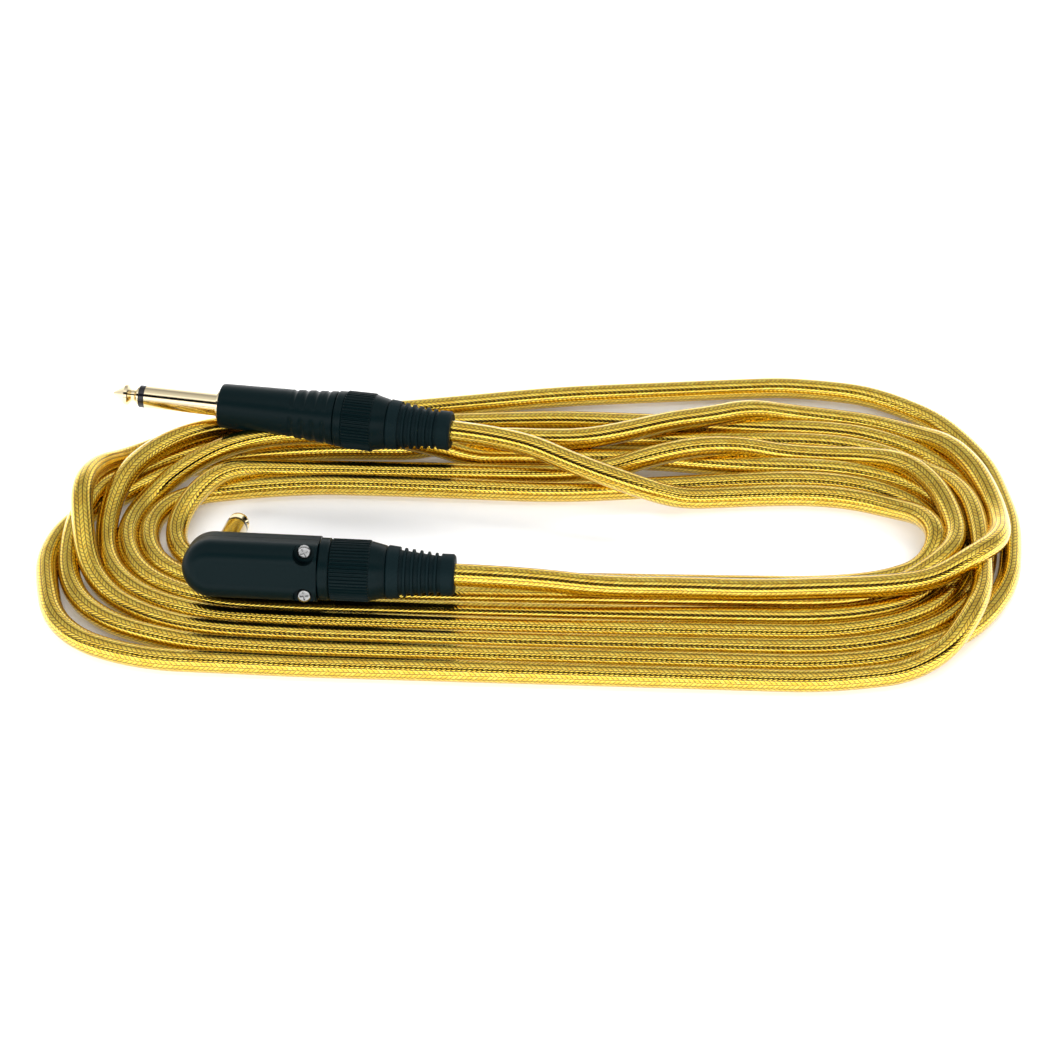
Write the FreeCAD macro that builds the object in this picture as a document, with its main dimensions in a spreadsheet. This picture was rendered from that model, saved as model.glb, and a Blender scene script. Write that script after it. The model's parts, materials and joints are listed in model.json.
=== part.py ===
import FreeCAD, Part
import math
import os

import Sketcher

# Instrument cable with a straight and a right-angle 6.35 mm plug, lying in a loose oblong coil.
# Millimetres, +Z up. The origin is on the surface that the coil lies on, under the coil's middle.
# A plug's own X axis runs from its free end towards the cable.

SIZES = {
    # the cable and its loose coil
    "cable_diameter": 6.0,
    "coil_height": 12.4,
    "layer_height": 6.2,
    # the plug's shaft, measured from the tip's end
    "cone_length": 3.6,
    "ridge_length": 0.9,
    "ridge_radius": 3.0,
    "neck_start": 5.5,
    "neck_end": 6.4,
    "neck_radius": 1.65,
    "flare_start": 7.3,
    "flare_radius": 2.75,
    "tip_end_radius": 0.45,
    "ring_start": 7.9,
    "ring_end": 9.6,
    "shaft_length": 30.6,
    "shaft_radius": 3.175,
    "sleeve_bore": 2.0,
    "rod_radius": 1.0,
    "flange_radius": 4.2,
    "flange_length": 0.8,
    "stub_radius": 4.4,
    "stub_length": 5.0,
    "lug_thickness": 0.5,
    "washer_radius": 2.8,
    "washer_length": 1.2,
    "tip_lug_width": 2.4,
    "tip_lug_length": 8.0,
    "ground_lug_width": 3.2,
    "ground_lug_length": 11.0,
    "ground_lug_drop": 3.3,
    "solder_radius": 0.9,
    "core_radius": 0.5,
    "core_length": 6.0,
    "insulation_radius": 1.3,
    "insulation_length": 8.0,
    "screen_radius": 0.55,
    "screen_length": 13.0,
    # the straight plug's shell
    "shell_front": 31.4,
    "shell_front_radius": 6.15,
    "shell_middle": 52.0,
    "shell_middle_radius": 6.7,
    "shell_length": 33.2,
    "shell_rear_radius": 7.6,
    "shell_nose": 2.6,
    "shell_cavity": 5.1,
    "shell_edge": 0.5,
    # the clamping end, the same on both plugs, measured from the seam in front of the nut
    "thread_radius": 6.0,
    "thread_length": 8.6,
    "jacket_lead": 6.0,
    "chuck_bore_radius": 4.9,
    "chuck_radius": 4.8,
    "chuck_depth": 4.0,
    "chuck_tail": 2.4,
    "chuck_tail_radius": 3.9,
    "chuck_slot": 0.8,
    "seam_gap": 0.2,
    "nut_ring_radius": 7.8,
    "nut_ring_length": 2.4,
    "nut_grip_radius": 8.1,
    "nut_grip_length": 8.1,
    "nut_taper_length": 4.0,
    "nut_rear_radius": 6.85,
    "nut_bore_radius": 6.1,
    "nut_edge": 0.3,
    "nut_lip_length": 1.6,
    "nut_lip_bore": 5.6,
    "boot_gap": 0.15,
    "boot_length": 17.6,
    "boot_band_length": 3.2,
    "boot_band_radius": 7.0,
    "boot_end_length": 3.5,
    "boot_end_radius": 5.4,
    "boot_root_radius": 5.9,
    "boot_flange_radius": 5.95,
    "boot_flange_length": 1.1,
    "boot_neck_radius": 5.45,
    "boot_bore_radius": 3.1,
    "rib_pitch": 2.0,
    "rib_width": 1.0,
    "rib_rise": 0.75,
    "rib_fall": 1.1,
    "boot_edge": 0.5,
    # the right-angle plug's housing, measured from its round end
    "housing_length": 35.6,
    "housing_width": 15.6,
    "housing_depth": 15.6,
    "housing_edge": 5.0,
    "cavity_half_width": 6.0,
    "cavity_floor": 2.2,
    "cavity_length": 28.5,
    "neck_root": 1.5,
    "cover_depth": 7.8,
    "cover_wall": 1.5,
    "cover_gap": 0.15,
    "shaft_from_end": 8.6,
    "screw_from_seam": 3.4,
    "screw_offset": 5.9,
    "screw_head_radius": 1.85,
    "screw_head_height": 0.9,
    "screw_shank_radius": 0.9,
    "screw_shank_length": 8.0,
    "screw_recess_radius": 2.8,
    "screw_recess_depth": 3.4,
    "collar_length": 3.0,
    "collar_radius": 8.15,
    "collar_bore": 6.05,
    "angle_grip_length": 10.2,
    "angle_taper_length": 4.2,
}

# Where the plugs lie: the point where each one's axis starts, its heading and its dip, in degrees.
STRAIGHT_START = (-117.3, 42.6, 14.7)
STRAIGHT_HEADING = -10.3
ANGLE_START = (-90.3, -32.0, 16.0)
ANGLE_HEADING = -4.0
ANGLE_DIP = 22.0

# Routes of the two ends of the cable, from inside each plug to the coil.
STRAIGHT_ROUTE = [
    (-21.81, 25.25, 14.7),
    (-4.1, 22.03, 14.7),
    (12.5, 14.6, 11.4),
    (29.0, 7.4, 9.6),
]
ANGLE_ROUTE = [
    (-19.52, -36.95, 16.0),
    (-1.56, -38.2, 16.0),
    (18.5, -37.2, 12.0),
    (38.0, -35.0, 9.8),
]

# The coil's outline on the surface, outside and inside. Its turns lie looser at the left end.
COIL_OUTSIDE = [
    (133.2, -8.0),
    (127.0, 33.0),
    (106.0, 57.5),
    (70.0, 66.3),
    (20.0, 62.0),
    (-50.0, 54.5),
    (-104.0, 42.5),
    (-127.5, 18.0),
    (-133.2, -20.0),
    (-118.0, -50.0),
    (-70.0, -61.0),
    (0.0, -62.5),
    (58.0, -67.2),
    (107.0, -52.0),
]
COIL_INSIDE = [
    (107.0, -14.0),
    (93.0, 4.0),
    (60.0, 8.5),
    (20.0, 10.0),
    (-30.0, 8.0),
    (-62.0, 12.5),
    (-84.0, 8.0),
    (-93.0, -6.0),
    (-90.5, -18.5),
    (-76.0, -23.5),
    (-20.0, -24.5),
    (35.0, -24.5),
    (85.0, -21.5),
]


def make_sheet(doc):
    sheet = doc.addObject("Spreadsheet::Sheet", "Sizes")
    for row, (word, number) in enumerate(SIZES.items(), start=1):
        sheet.set(f"A{row}", word)
        sheet.set(f"B{row}", str(number))
        sheet.setAlias(f"B{row}", word)
    doc.recompute()
    return sheet


doc = FreeCAD.newDocument("InstrumentCable")
sheet = make_sheet(doc)
nodes = []


def size(expression):
    """The value of an expression in the sheet's words."""
    return float(sheet.evalExpression(expression))


def bound(expression):
    """The same expression with each of the sheet's words written as a reference to its cell."""
    words = []
    word = ""
    for letter in expression + " ":
        if letter.isalnum() or letter == "_":
            word += letter
            continue
        words.append("Sizes." + word if word in SIZES else word)
        words.append(letter)
        word = ""
    return "".join(words).strip()


def add_node(thing, label, placement):
    thing.Label = label
    thing.Placement = placement
    nodes.append(thing)
    return thing


def placed(start, heading, dip=0.0, roll=0.0):
    """A plug's own frame: X turned by its heading, then dipped, then rolled about X."""
    turn = FreeCAD.Rotation(heading, dip, roll)
    return FreeCAD.Placement(FreeCAD.Vector(*start), turn)


def role_plane(body, role):
    return next(f for f in body.Origin.OriginFeatures if f.Role == role)


def draw_outline(sketch, corners):
    """A closed outline of straight sides, each corner bound to a pair of expressions."""
    points = [FreeCAD.Vector(size(along), size(out), 0) for along, out in corners]
    for start, end in zip(points, points[1:] + points[:1]):
        sketch.addGeometry(Part.LineSegment(start, end), False)
    count = len(points)
    for side in range(count):
        sketch.addConstraint(Sketcher.Constraint("Coincident", side, 2, (side + 1) % count, 1))
    for side, ((along, out), point) in enumerate(zip(corners, points)):
        for axis, kind, expression, number in (
            (-2, "DistanceX", along, point.x),
            (-1, "DistanceY", out, point.y),
        ):
            if abs(number) < 1e-9:
                sketch.addConstraint(Sketcher.Constraint("PointOnObject", side, 1, axis))
                continue
            index = sketch.addConstraint(Sketcher.Constraint(kind, -1, 1, side, 1, number))
            sketch.setExpression(f"Constraints[{index}]", bound(expression))


def new_sketch(body, role, name):
    sketch = body.newObject("Sketcher::SketchObject", name)
    sketch.AttachmentSupport = (role_plane(body, role), "")
    sketch.MapMode = "FlatFace"
    return sketch


def turned(label, corners, placement):
    """A body turned about its X axis from an outline of (distance along, radius) corners."""
    body = doc.addObject("PartDesign::Body", label)
    sketch = new_sketch(body, "XZ_Plane", label + "_outline")
    draw_outline(sketch, corners)
    solid = body.newObject("PartDesign::Revolution", label + "_turned")
    solid.Profile = sketch
    solid.ReferenceAxis = (sketch, ["H_Axis"])
    solid.Angle = 360.0
    sketch.Visibility = False
    doc.recompute()
    return add_node(body, label, placement)


def cylinder(name, along, length, radius, height="0", side="0", turn=FreeCAD.Rotation(0, 90, 0)):
    """A round bar, along X unless turned, that starts at the given place."""
    bar = doc.addObject("Part::Cylinder", name)
    bar.setExpression("Radius", bound(radius))
    bar.setExpression("Height", bound(length))
    bar.Placement = FreeCAD.Placement(FreeCAD.Vector(), turn)
    for axis, expression in zip("xyz", (along, side, height)):
        bar.setExpression(f"Placement.Base.{axis}", bound(expression))
    doc.recompute()
    return bar


def block(name, low, sides):
    """A box with its low corner and its three sides given by expressions."""
    box = doc.addObject("Part::Box", name)
    for side, expression in zip(("Length", "Width", "Height"), sides):
        box.setExpression(side, bound(expression))
    for axis, expression in zip("xyz", low):
        box.setExpression(f"Placement.Base.{axis}", bound(expression))
    doc.recompute()
    return box


def add_part(thing, label, placement):
    """A node of one primitive, held in a compound whose Placement is the plug's frame."""
    thing.Label = label + "_form"
    holder = doc.addObject("Part::Compound", label)
    holder.Links = [thing]
    doc.recompute()
    return add_node(holder, label, placement)


def joined(kind, name, base, tool):
    """Part::Cut, Part::Fuse or Part::Common of two objects."""
    result = doc.addObject(kind, name)
    result.Base = base
    result.Tool = tool
    doc.recompute()
    return result


# The contacts, the same in both plugs

GROUND_LUG = "shaft_length + flange_length + stub_length"
WASHER = GROUND_LUG + " + lug_thickness"
TIP_LUG = WASHER + " + washer_length"
ROD_END = TIP_LUG + " + lug_thickness * 2"


def add_contacts(plug, placement):
    turned(
        plug + "_tip_contact",
        [
            ("0", "0"),
            ("0", "tip_end_radius"),
            ("cone_length", "ridge_radius"),
            ("cone_length + ridge_length", "ridge_radius"),
            ("neck_start", "neck_radius"),
            ("neck_end", "neck_radius"),
            ("flare_start", "flare_radius"),
            ("ring_start", "flare_radius"),
            ("ring_start", "rod_radius"),
            (ROD_END, "rod_radius"),
            (ROD_END, "0"),
        ],
        placement,
    )
    turned(
        plug + "_tip_insulator",
        [
            ("ring_start", "rod_radius"),
            ("ring_start", "shaft_radius"),
            ("ring_end", "shaft_radius"),
            ("ring_end", "sleeve_bore"),
            (GROUND_LUG, "sleeve_bore"),
            (GROUND_LUG, "rod_radius"),
        ],
        placement,
    )
    turned(
        plug + "_sleeve_contact",
        [
            ("ring_end", "sleeve_bore"),
            ("ring_end", "shaft_radius"),
            ("shaft_length", "shaft_radius"),
            ("shaft_length", "flange_radius"),
            ("shaft_length + flange_length", "flange_radius"),
            ("shaft_length + flange_length", "stub_radius"),
            (GROUND_LUG, "stub_radius"),
            (GROUND_LUG, "sleeve_bore"),
        ],
        placement,
    )
    turned(
        plug + "_rear_insulator",
        [
            (WASHER, "rod_radius"),
            (WASHER, "washer_radius"),
            (TIP_LUG, "washer_radius"),
            (TIP_LUG, "rod_radius"),
        ],
        placement,
    )


def add_lug(label, along, hole, radius, tab_low, tab_sides, placement):
    """A solder lug: a disc with a hole and a tab that runs towards the cable."""
    disc = cylinder(label + "_disc", along, "lug_thickness", radius)
    tab = block(label + "_tab", tab_low, tab_sides)
    whole = joined("Part::Fuse", label + "_whole", disc, tab)
    bore = cylinder(label + "_bore", f"{along} - 1", "lug_thickness + 2", hole)
    lug = joined("Part::Cut", label, whole, bore)
    return add_node(lug, label, placement)


def add_lugs(plug, placement):
    """Both lugs. A straight plug's tabs run back along it, a right-angle plug's run across it."""
    for name, along, hole, radius, width, length, drop in (
        ("ground", GROUND_LUG, "sleeve_bore", "stub_radius", "ground_lug_width", "ground_lug_length",
         "ground_lug_drop"),
        ("tip", TIP_LUG, "rod_radius", "tip_lug_width", "tip_lug_width", "tip_lug_length", "rod_radius"),
    ):
        if plug == "straight":
            low = (along, f"0 - {width} / 2", f"0 - {drop} - lug_thickness")
            sides = (length, width, "lug_thickness")
        else:
            low = (along, f"0 - {width} / 2", f"0 - {length}")
            sides = ("lug_thickness", width, f"{length} - {hole}")
        add_lug(f"{plug}_{name}_terminal", along, hole, radius, low, sides, placement)


def add_cable_end(plug, jacket, boot_end, tip_height, ground_height, placement):
    """The end of the cable that the plug holds, stripped: core, insulation, pigtail and solder."""
    held = cylinder(plug + "_held_bar", jacket, f"{boot_end} - ({jacket})", "cable_diameter / 2")
    add_part(held, plug + "_cable_end", placement)
    core_end = f"{jacket} - insulation_length"
    insulation = cylinder(plug + "_insulation_bar", core_end, "insulation_length", "insulation_radius")
    add_part(insulation, plug + "_core_insulation", placement)
    core = cylinder(
        plug + "_core_bar", f"{core_end} - core_length", "core_length", "core_radius", tip_height
    )
    add_part(core, plug + "_core_conductor", placement)
    screen = cylinder(
        plug + "_screen_bar", f"{jacket} - screen_length", "screen_length", "screen_radius",
        ground_height,
    )
    add_part(screen, plug + "_screen_pigtail", placement)
    drops = []
    for name, along, height in (
        ("tip", f"{core_end} - core_length + solder_radius", tip_height),
        ("ground", f"{jacket} - screen_length + solder_radius", ground_height),
    ):
        drop = doc.addObject("Part::Sphere", f"{plug}_{name}_solder")
        drop.setExpression("Radius", bound("solder_radius"))
        drop.setExpression("Placement.Base.x", bound(along))
        drop.setExpression("Placement.Base.z", bound(height))
        drops.append(drop)
    both = doc.addObject("Part::Compound", plug + "_solder_joints")
    both.Links = drops
    doc.recompute()
    add_node(both, plug + "_solder_joints", placement)


# The clamping end, the same on both plugs but for its seam's place and its lengths

RIBS = 5


def add_clamp(plug, seam, grip_length, taper_length, placement):
    """Chuck, knurled nut and rubber boot behind a seam. Gives where the boot ends."""
    nut_start = f"{seam} + seam_gap"
    smooth_ring = [
        (nut_start, "nut_ring_radius - nut_edge"),
        (f"{nut_start} + nut_edge", "nut_ring_radius"),
        (f"{nut_start} + nut_ring_length", "nut_ring_radius"),
        (f"{nut_start} + nut_ring_length", "nut_grip_radius"),
    ]
    has_ring = plug == "straight"
    grip_start = f"{nut_start} + nut_ring_length" if has_ring else nut_start
    taper_start = f"{grip_start} + {grip_length}"
    nut_end = f"{taper_start} + {taper_length}"
    lip_start = f"{nut_end} - nut_lip_length"
    add_chuck(plug, seam, lip_start, placement)
    turned(
        plug + "_nut",
        [(nut_start, "nut_bore_radius")]
        + (smooth_ring if has_ring else [(nut_start, "nut_grip_radius")])
        + [
            (taper_start, "nut_grip_radius"),
            (taper_start, "nut_ring_radius"),
            (nut_end, "nut_rear_radius"),
            (nut_end, "nut_lip_bore"),
            (lip_start, "nut_lip_bore"),
            (lip_start, "nut_bore_radius"),
        ],
        placement,
    )
    add_boot(plug, nut_end, lip_start, placement)
    return f"{nut_end} + boot_gap + boot_length"


def add_chuck(plug, seam, lip_start, placement):
    """The collet that grips the jacket, slit crosswise at its rear."""
    chuck_start = f"{seam} - chuck_depth"
    chuck_end = f"{lip_start} - boot_gap * 2 - boot_flange_length"
    blank = turned(
        plug + "_chuck_blank",
        [
            (chuck_start, "cable_diameter / 2"),
            (chuck_start, "chuck_radius"),
            (f"{chuck_end} - chuck_tail", "chuck_radius"),
            (chuck_end, "chuck_tail_radius"),
            (chuck_end, "cable_diameter / 2"),
        ],
        FreeCAD.Placement(),
    )
    nodes.remove(blank)
    slit_start = f"{chuck_end} - chuck_tail * 2"
    level = block(
        plug + "_chuck_level_slit",
        (slit_start, "0 - thread_radius", "0 - chuck_slot / 2"),
        ("chuck_tail * 3", "thread_radius * 2", "chuck_slot"),
    )
    upright = block(
        plug + "_chuck_upright_slit",
        (slit_start, "0 - chuck_slot / 2", "0 - thread_radius"),
        ("chuck_tail * 3", "chuck_slot", "thread_radius * 2"),
    )
    slits = joined("Part::Fuse", plug + "_chuck_slits", level, upright)
    chuck = joined("Part::Cut", plug + "_chuck", blank, slits)
    add_node(chuck, plug + "_chuck", placement)


def add_boot(plug, nut_end, lip_start, placement):
    """The boot: a flange inside the nut, a neck through its lip, a band, five ribs and an end collar."""
    band_start = f"{nut_end} + boot_gap"
    band_end = f"{band_start} + boot_band_length"
    boot_end = f"{band_start} + boot_length"
    core_drop = f"rib_fall / {RIBS}"
    corners = [
        (f"{lip_start} - boot_gap - boot_flange_length", "boot_bore_radius"),
        (f"{lip_start} - boot_gap - boot_flange_length", "boot_flange_radius"),
        (f"{lip_start} - boot_gap", "boot_flange_radius"),
        (f"{lip_start} - boot_gap", "boot_neck_radius"),
        (band_start, "boot_neck_radius"),
        (band_start, "boot_band_radius - nut_edge"),
        (f"{band_start} + nut_edge", "boot_band_radius"),
        (band_end, "boot_band_radius - nut_edge"),
        (band_end, "boot_root_radius"),
    ]
    for rib in range(RIBS):
        rib_start = f"{band_end} + rib_pitch * {rib} + rib_pitch - rib_width"
        core = f"boot_root_radius - {core_drop} * {rib + 1}"
        corners += [
            (rib_start, core),
            (f"{rib_start} + rib_width / 4", f"{core} + rib_rise"),
            (f"{rib_start} + rib_width * 3 / 4", f"{core} + rib_rise"),
            (f"{rib_start} + rib_width", core),
        ]
    corners += [
        (f"{boot_end} - boot_end_length", "boot_root_radius - rib_fall"),
        (f"{boot_end} - boot_end_length", "boot_end_radius"),
        (f"{boot_end} - boot_edge", "boot_end_radius"),
        (boot_end, "boot_end_radius - boot_edge"),
        (boot_end, "boot_bore_radius"),
    ]
    turned(plug + "_boot", corners, placement)


# The straight plug


def add_shell(placement):
    seam = "shell_front + shell_length"
    turned(
        "straight_shell",
        [
            ("shell_front", "stub_radius"),
            ("shell_front", "shell_front_radius - shell_edge"),
            ("shell_front + shell_edge", "shell_front_radius"),
            ("shell_middle", "shell_middle_radius"),
            (f"{seam} - shell_edge", "shell_rear_radius"),
            (seam, "shell_rear_radius - shell_edge"),
            (seam, "thread_radius"),
            (f"{seam} + thread_length", "thread_radius"),
            (f"{seam} + thread_length", "chuck_bore_radius"),
            (f"{seam} - chuck_depth - 1", "chuck_bore_radius"),
            ("shell_front + shell_nose", "shell_cavity"),
            ("shell_front + shell_nose", "stub_radius"),
        ],
        placement,
    )
    return seam


# The right-angle plug's housing


def rounded_block(name, low, high):
    """The housing's outer form between two heights, round in plan at its closed end."""
    body = doc.addObject("PartDesign::Body", name)
    sketch = new_sketch(body, "XY_Plane", name + "_plan")
    half = size("housing_width / 2")
    length = size("housing_length")
    vector = FreeCAD.Vector
    sketch.addGeometry(Part.LineSegment(vector(half, -half, 0), vector(length, -half, 0)), False)
    sketch.addGeometry(Part.LineSegment(vector(length, -half, 0), vector(length, half, 0)), False)
    sketch.addGeometry(Part.LineSegment(vector(length, half, 0), vector(half, half, 0)), False)
    end = Part.Circle(vector(half, 0, 0), vector(0, 0, 1), half)
    sketch.addGeometry(Part.ArcOfCircle(end, math.pi / 2, math.pi * 3 / 2), False)
    for first, second in ((0, 1), (1, 2)):
        sketch.addConstraint(Sketcher.Constraint("Coincident", first, 2, second, 1))
    for first, second in ((2, 3), (3, 0)):
        sketch.addConstraint(Sketcher.Constraint("Tangent", first, 2, second, 1))
    for line, kind in ((0, "Horizontal"), (1, "Vertical"), (2, "Horizontal")):
        sketch.addConstraint(Sketcher.Constraint(kind, line))
    sketch.addConstraint(Sketcher.Constraint("PointOnObject", 3, 3, -1))
    for kind, item, point, number, expression in (
        ("DistanceX", 3, 3, half, "housing_width / 2"),
        ("DistanceX", 1, 1, length, "housing_length"),
    ):
        index = sketch.addConstraint(Sketcher.Constraint(kind, -1, 1, item, point, number))
        sketch.setExpression(f"Constraints[{index}]", bound(expression))
    index = sketch.addConstraint(Sketcher.Constraint("Radius", 3, half))
    sketch.setExpression(f"Constraints[{index}]", bound("housing_width / 2"))
    sketch.setExpression("AttachmentOffset.Base.z", bound(low))
    pad = body.newObject("PartDesign::Pad", name + "_pad")
    pad.Profile = sketch
    pad.setExpression("Length", bound(f"{high} - ({low})"))
    doc.recompute()
    return body


def edges_on_level(shape, levels, rear):
    """Names of the edges that lie flat at one of the heights, but for the rear face's own."""
    names = []
    for number, edge in enumerate(shape.Edges, start=1):
        box = edge.BoundBox
        flat = box.ZLength < 1e-6 and min(abs(box.ZMin - level) for level in levels) < 1e-6
        if flat and box.XMin < rear - 1e-6:
            names.append(f"Edge{number}")
    return names


def add_housing(placement):
    """Housing, cover, screws and collar. The shaft leaves towards -Z, the cover faces +Z."""
    outer = rounded_block("angle_outer_form", "0 - housing_depth / 2", "housing_depth / 2")
    pad = outer.Tip
    half_depth = size("housing_depth / 2")
    rounding = outer.newObject("PartDesign::Fillet", "angle_outer_rounding")
    rounding.Base = (pad, edges_on_level(pad.Shape, (-half_depth, half_depth), size("housing_length")))
    rounding.setExpression("Radius", bound("housing_edge"))
    doc.recompute()

    split = "housing_depth / 2 - cover_depth"
    upright = FreeCAD.Rotation()
    seam = "housing_length + collar_length"
    lower_space = block(
        "angle_lower_space",
        ("0 - 5", "0 - housing_width", "0 - housing_depth"),
        ("housing_length + 10", "housing_width * 2", f"housing_depth + {split}"),
    )
    upper_space = block(
        "angle_upper_space",
        ("0 - 5", "0 - housing_width", f"{split} + cover_gap"),
        ("housing_length + 10", "housing_width * 2", "housing_depth"),
    )
    neck = cylinder(
        "angle_neck",
        "housing_length - neck_root",
        "neck_root + collar_length + thread_length",
        "thread_radius",
    )
    bore = cylinder(
        "angle_neck_bore",
        "cavity_length - 1",
        f"{seam} + thread_length + 2 - cavity_length",
        "chuck_bore_radius",
    )
    cavity = stadium(
        "angle_cavity",
        "cavity_half_width",
        "0 - housing_depth / 2 + cavity_floor",
        "housing_depth - cavity_floor - cover_depth + 1",
    )
    lid_cavity = stadium(
        "angle_lid_cavity", "cavity_half_width", f"{split} - 1", "cover_depth - cover_wall + 1"
    )
    shaft_hole = cylinder(
        "angle_shaft_hole",
        "shaft_from_end",
        "housing_depth",
        "stub_radius",
        "0 - housing_depth",
        turn=upright,
    )
    flange_seat = cylinder(
        "angle_flange_seat",
        "shaft_from_end",
        "flange_length + 1",
        "flange_radius",
        "0 - housing_depth / 2 - 1",
        turn=upright,
    )
    lower = joined("Part::Common", "angle_lower_form", outer, lower_space)
    lower = joined("Part::Fuse", "angle_lower_with_neck", lower, neck)
    for number, tool in enumerate((cavity, bore, shaft_hole, flange_seat), start=1):
        lower = joined("Part::Cut", f"angle_lower_cut_{number}", lower, tool)
    upper = joined("Part::Common", "angle_upper_form", outer, upper_space)
    for number, tool in enumerate((lid_cavity, neck, bore), start=1):
        upper = joined("Part::Cut", f"angle_upper_cut_{number}", upper, tool)

    head_top = "housing_depth / 2 - screw_recess_depth + screw_head_height"
    screws = []
    for name, side in (("far", "screw_offset"), ("near", "0 - screw_offset")):
        along = "housing_length - screw_from_seam"
        head = cylinder(
            f"angle_{name}_screw_head", along, "screw_head_height", "screw_head_radius",
            f"{head_top} - screw_head_height", side, upright,
        )
        shank = cylinder(
            f"angle_{name}_screw_shank", along, "screw_shank_length", "screw_shank_radius",
            f"{head_top} - screw_head_height - screw_shank_length", side, upright,
        )
        screws.append(joined("Part::Fuse", f"angle_{name}_screw", head, shank))
        recess = cylinder(
            f"angle_{name}_screw_recess", along, "housing_depth", "screw_recess_radius",
            f"{head_top} - screw_head_height", side, upright,
        )
        hole = joined("Part::Fuse", f"angle_{name}_screw_hole", recess, shank)
        lower = joined("Part::Cut", f"angle_lower_{name}_hole", lower, shank)
        upper = joined("Part::Cut", f"angle_upper_{name}_hole", upper, hole)
    pair = doc.addObject("Part::Compound", "angle_cover_screws")
    pair.Links = screws
    doc.recompute()
    add_node(lower, "angle_housing", placement)
    add_node(upper, "angle_cover", placement)
    add_node(pair, "angle_cover_screws", placement)
    turned(
        "angle_collar",
        [
            ("housing_length + seam_gap", "collar_bore"),
            ("housing_length + seam_gap", "collar_radius - nut_edge"),
            ("housing_length + seam_gap + nut_edge", "collar_radius"),
            (f"{seam} - nut_edge", "collar_radius"),
            (seam, "collar_radius - nut_edge"),
            (seam, "collar_bore"),
        ],
        placement,
    )
    return seam


def stadium(name, radius, low, height):
    """The housing's hollow: round at the closed end, straight-sided towards the cable."""
    end = cylinder(name + "_end", "housing_width / 2", height, radius, low, turn=FreeCAD.Rotation())
    run = block(
        name + "_run",
        ("housing_width / 2", f"0 - {radius}", low),
        ("cavity_length - housing_width / 2", f"{radius} * 2", height),
    )
    return joined("Part::Fuse", name, end, run)


# The cable


def rounded_path(points):
    """Straight runs joined by tangent arcs, each as large as its two runs allow."""
    corners = [FreeCAD.Vector(*point) for point in points]
    edges = []
    radii = []
    start = corners[0]
    for before, corner, after in zip(corners, corners[1:], corners[2:]):
        back = before - corner
        ahead = after - corner
        reach = 0.45 * min(back.Length, ahead.Length)
        back.normalize()
        ahead.normalize()
        turn = math.pi - back.getAngle(ahead)
        radius = reach / math.tan(turn / 2)
        enter = corner + back * reach
        leave = corner + ahead * reach
        middle_way = back + ahead
        middle_way.normalize()
        middle = corner + middle_way * (radius / math.cos(turn / 2) - radius)
        edges.append(Part.LineSegment(start, enter).toShape())
        edges.append(Part.Arc(enter, middle, leave).toShape())
        radii.append(radius)
        start = leave
    edges.append(Part.LineSegment(start, corners[-1]).toShape())
    return Part.Wire(edges), radii


def add_tube(label, points):
    """A length of the cable along a route: a round section swept along its runs and arcs."""
    wire, radii = rounded_path(points)
    path = doc.addObject("Part::Feature", label + "_path")
    path.Shape = wire
    section = doc.addObject("Part::Circle", label + "_section")
    section.setExpression("Radius", bound("cable_diameter / 2"))
    way = FreeCAD.Vector(*points[1]) - FreeCAD.Vector(*points[0])
    section.Placement = FreeCAD.Placement(
        FreeCAD.Vector(*points[0]), FreeCAD.Rotation(FreeCAD.Vector(0, 0, 1), way)
    )
    tube = doc.addObject("Part::Sweep", label)
    tube.Sections = [section]
    tube.Spine = (path, [f"Edge{number}" for number in range(1, len(wire.Edges) + 1)])
    tube.Solid = True
    doc.recompute()
    expected = math.pi * size("cable_diameter / 2") ** 2 * wire.Length
    print(f"{label}: radii {[round(r, 1) for r in radii]} mm, length {wire.Length:.1f} mm,")
    print(f"  volume {tube.Shape.Volume:.1f} mm3 against section times length {expected:.1f} mm3")
    return add_node(tube, label, FreeCAD.Placement())


def prism(name, outline, low, height):
    """An upright prism on a smooth closed curve through the outline's points."""
    curve = Part.BSplineCurve()
    curve.interpolate([FreeCAD.Vector(x, y, low) for x, y in outline], PeriodicFlag=True)
    face = Part.Face(Part.Wire(curve.toShape()))
    form = doc.addObject("Part::Feature", name)
    form.Shape = face.extrude(FreeCAD.Vector(0, 0, height))
    return form


def seat(name, start, heading, low, sides):
    """A clear space over the lowest layer of the coil, where a plug lies across it."""
    space = block(name, low, sides)
    space.setExpression("Placement.Base.x", None)
    space.setExpression("Placement.Base.y", None)
    turn = FreeCAD.Rotation(heading, 0, 0)
    corner = turn.multVec(FreeCAD.Vector(size(low[0]), size(low[1]), 0))
    space.Placement = FreeCAD.Placement(
        FreeCAD.Vector(start[0] + corner.x, start[1] + corner.y, size(low[2])), turn
    )
    return space


def add_coil():
    height = size("coil_height")
    outer = prism("coil_outer_form", COIL_OUTSIDE, 0.0, height)
    inner = prism("coil_inner_form", COIL_INSIDE, -1.0, height + 2.0)
    ring = joined("Part::Cut", "coil_ring_form", outer, inner)
    room = "layer_height + 0.1"
    straight_seat = seat(
        "coil_straight_seat", STRAIGHT_START, STRAIGHT_HEADING,
        ("0 - 5", "0 - 11", room), ("116", "22", "coil_height"),
    )
    angle_seat = seat(
        "coil_angle_seat", ANGLE_START, ANGLE_HEADING,
        ("0 - 3", "0 - 12", room), ("86", "26", "coil_height"),
    )
    ring = joined("Part::Cut", "coil_first_seat", ring, straight_seat)
    ring = joined("Part::Cut", "coil_second_seat", ring, angle_seat)
    add_node(ring, "cable_coil", FreeCAD.Placement())


# The whole object

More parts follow.
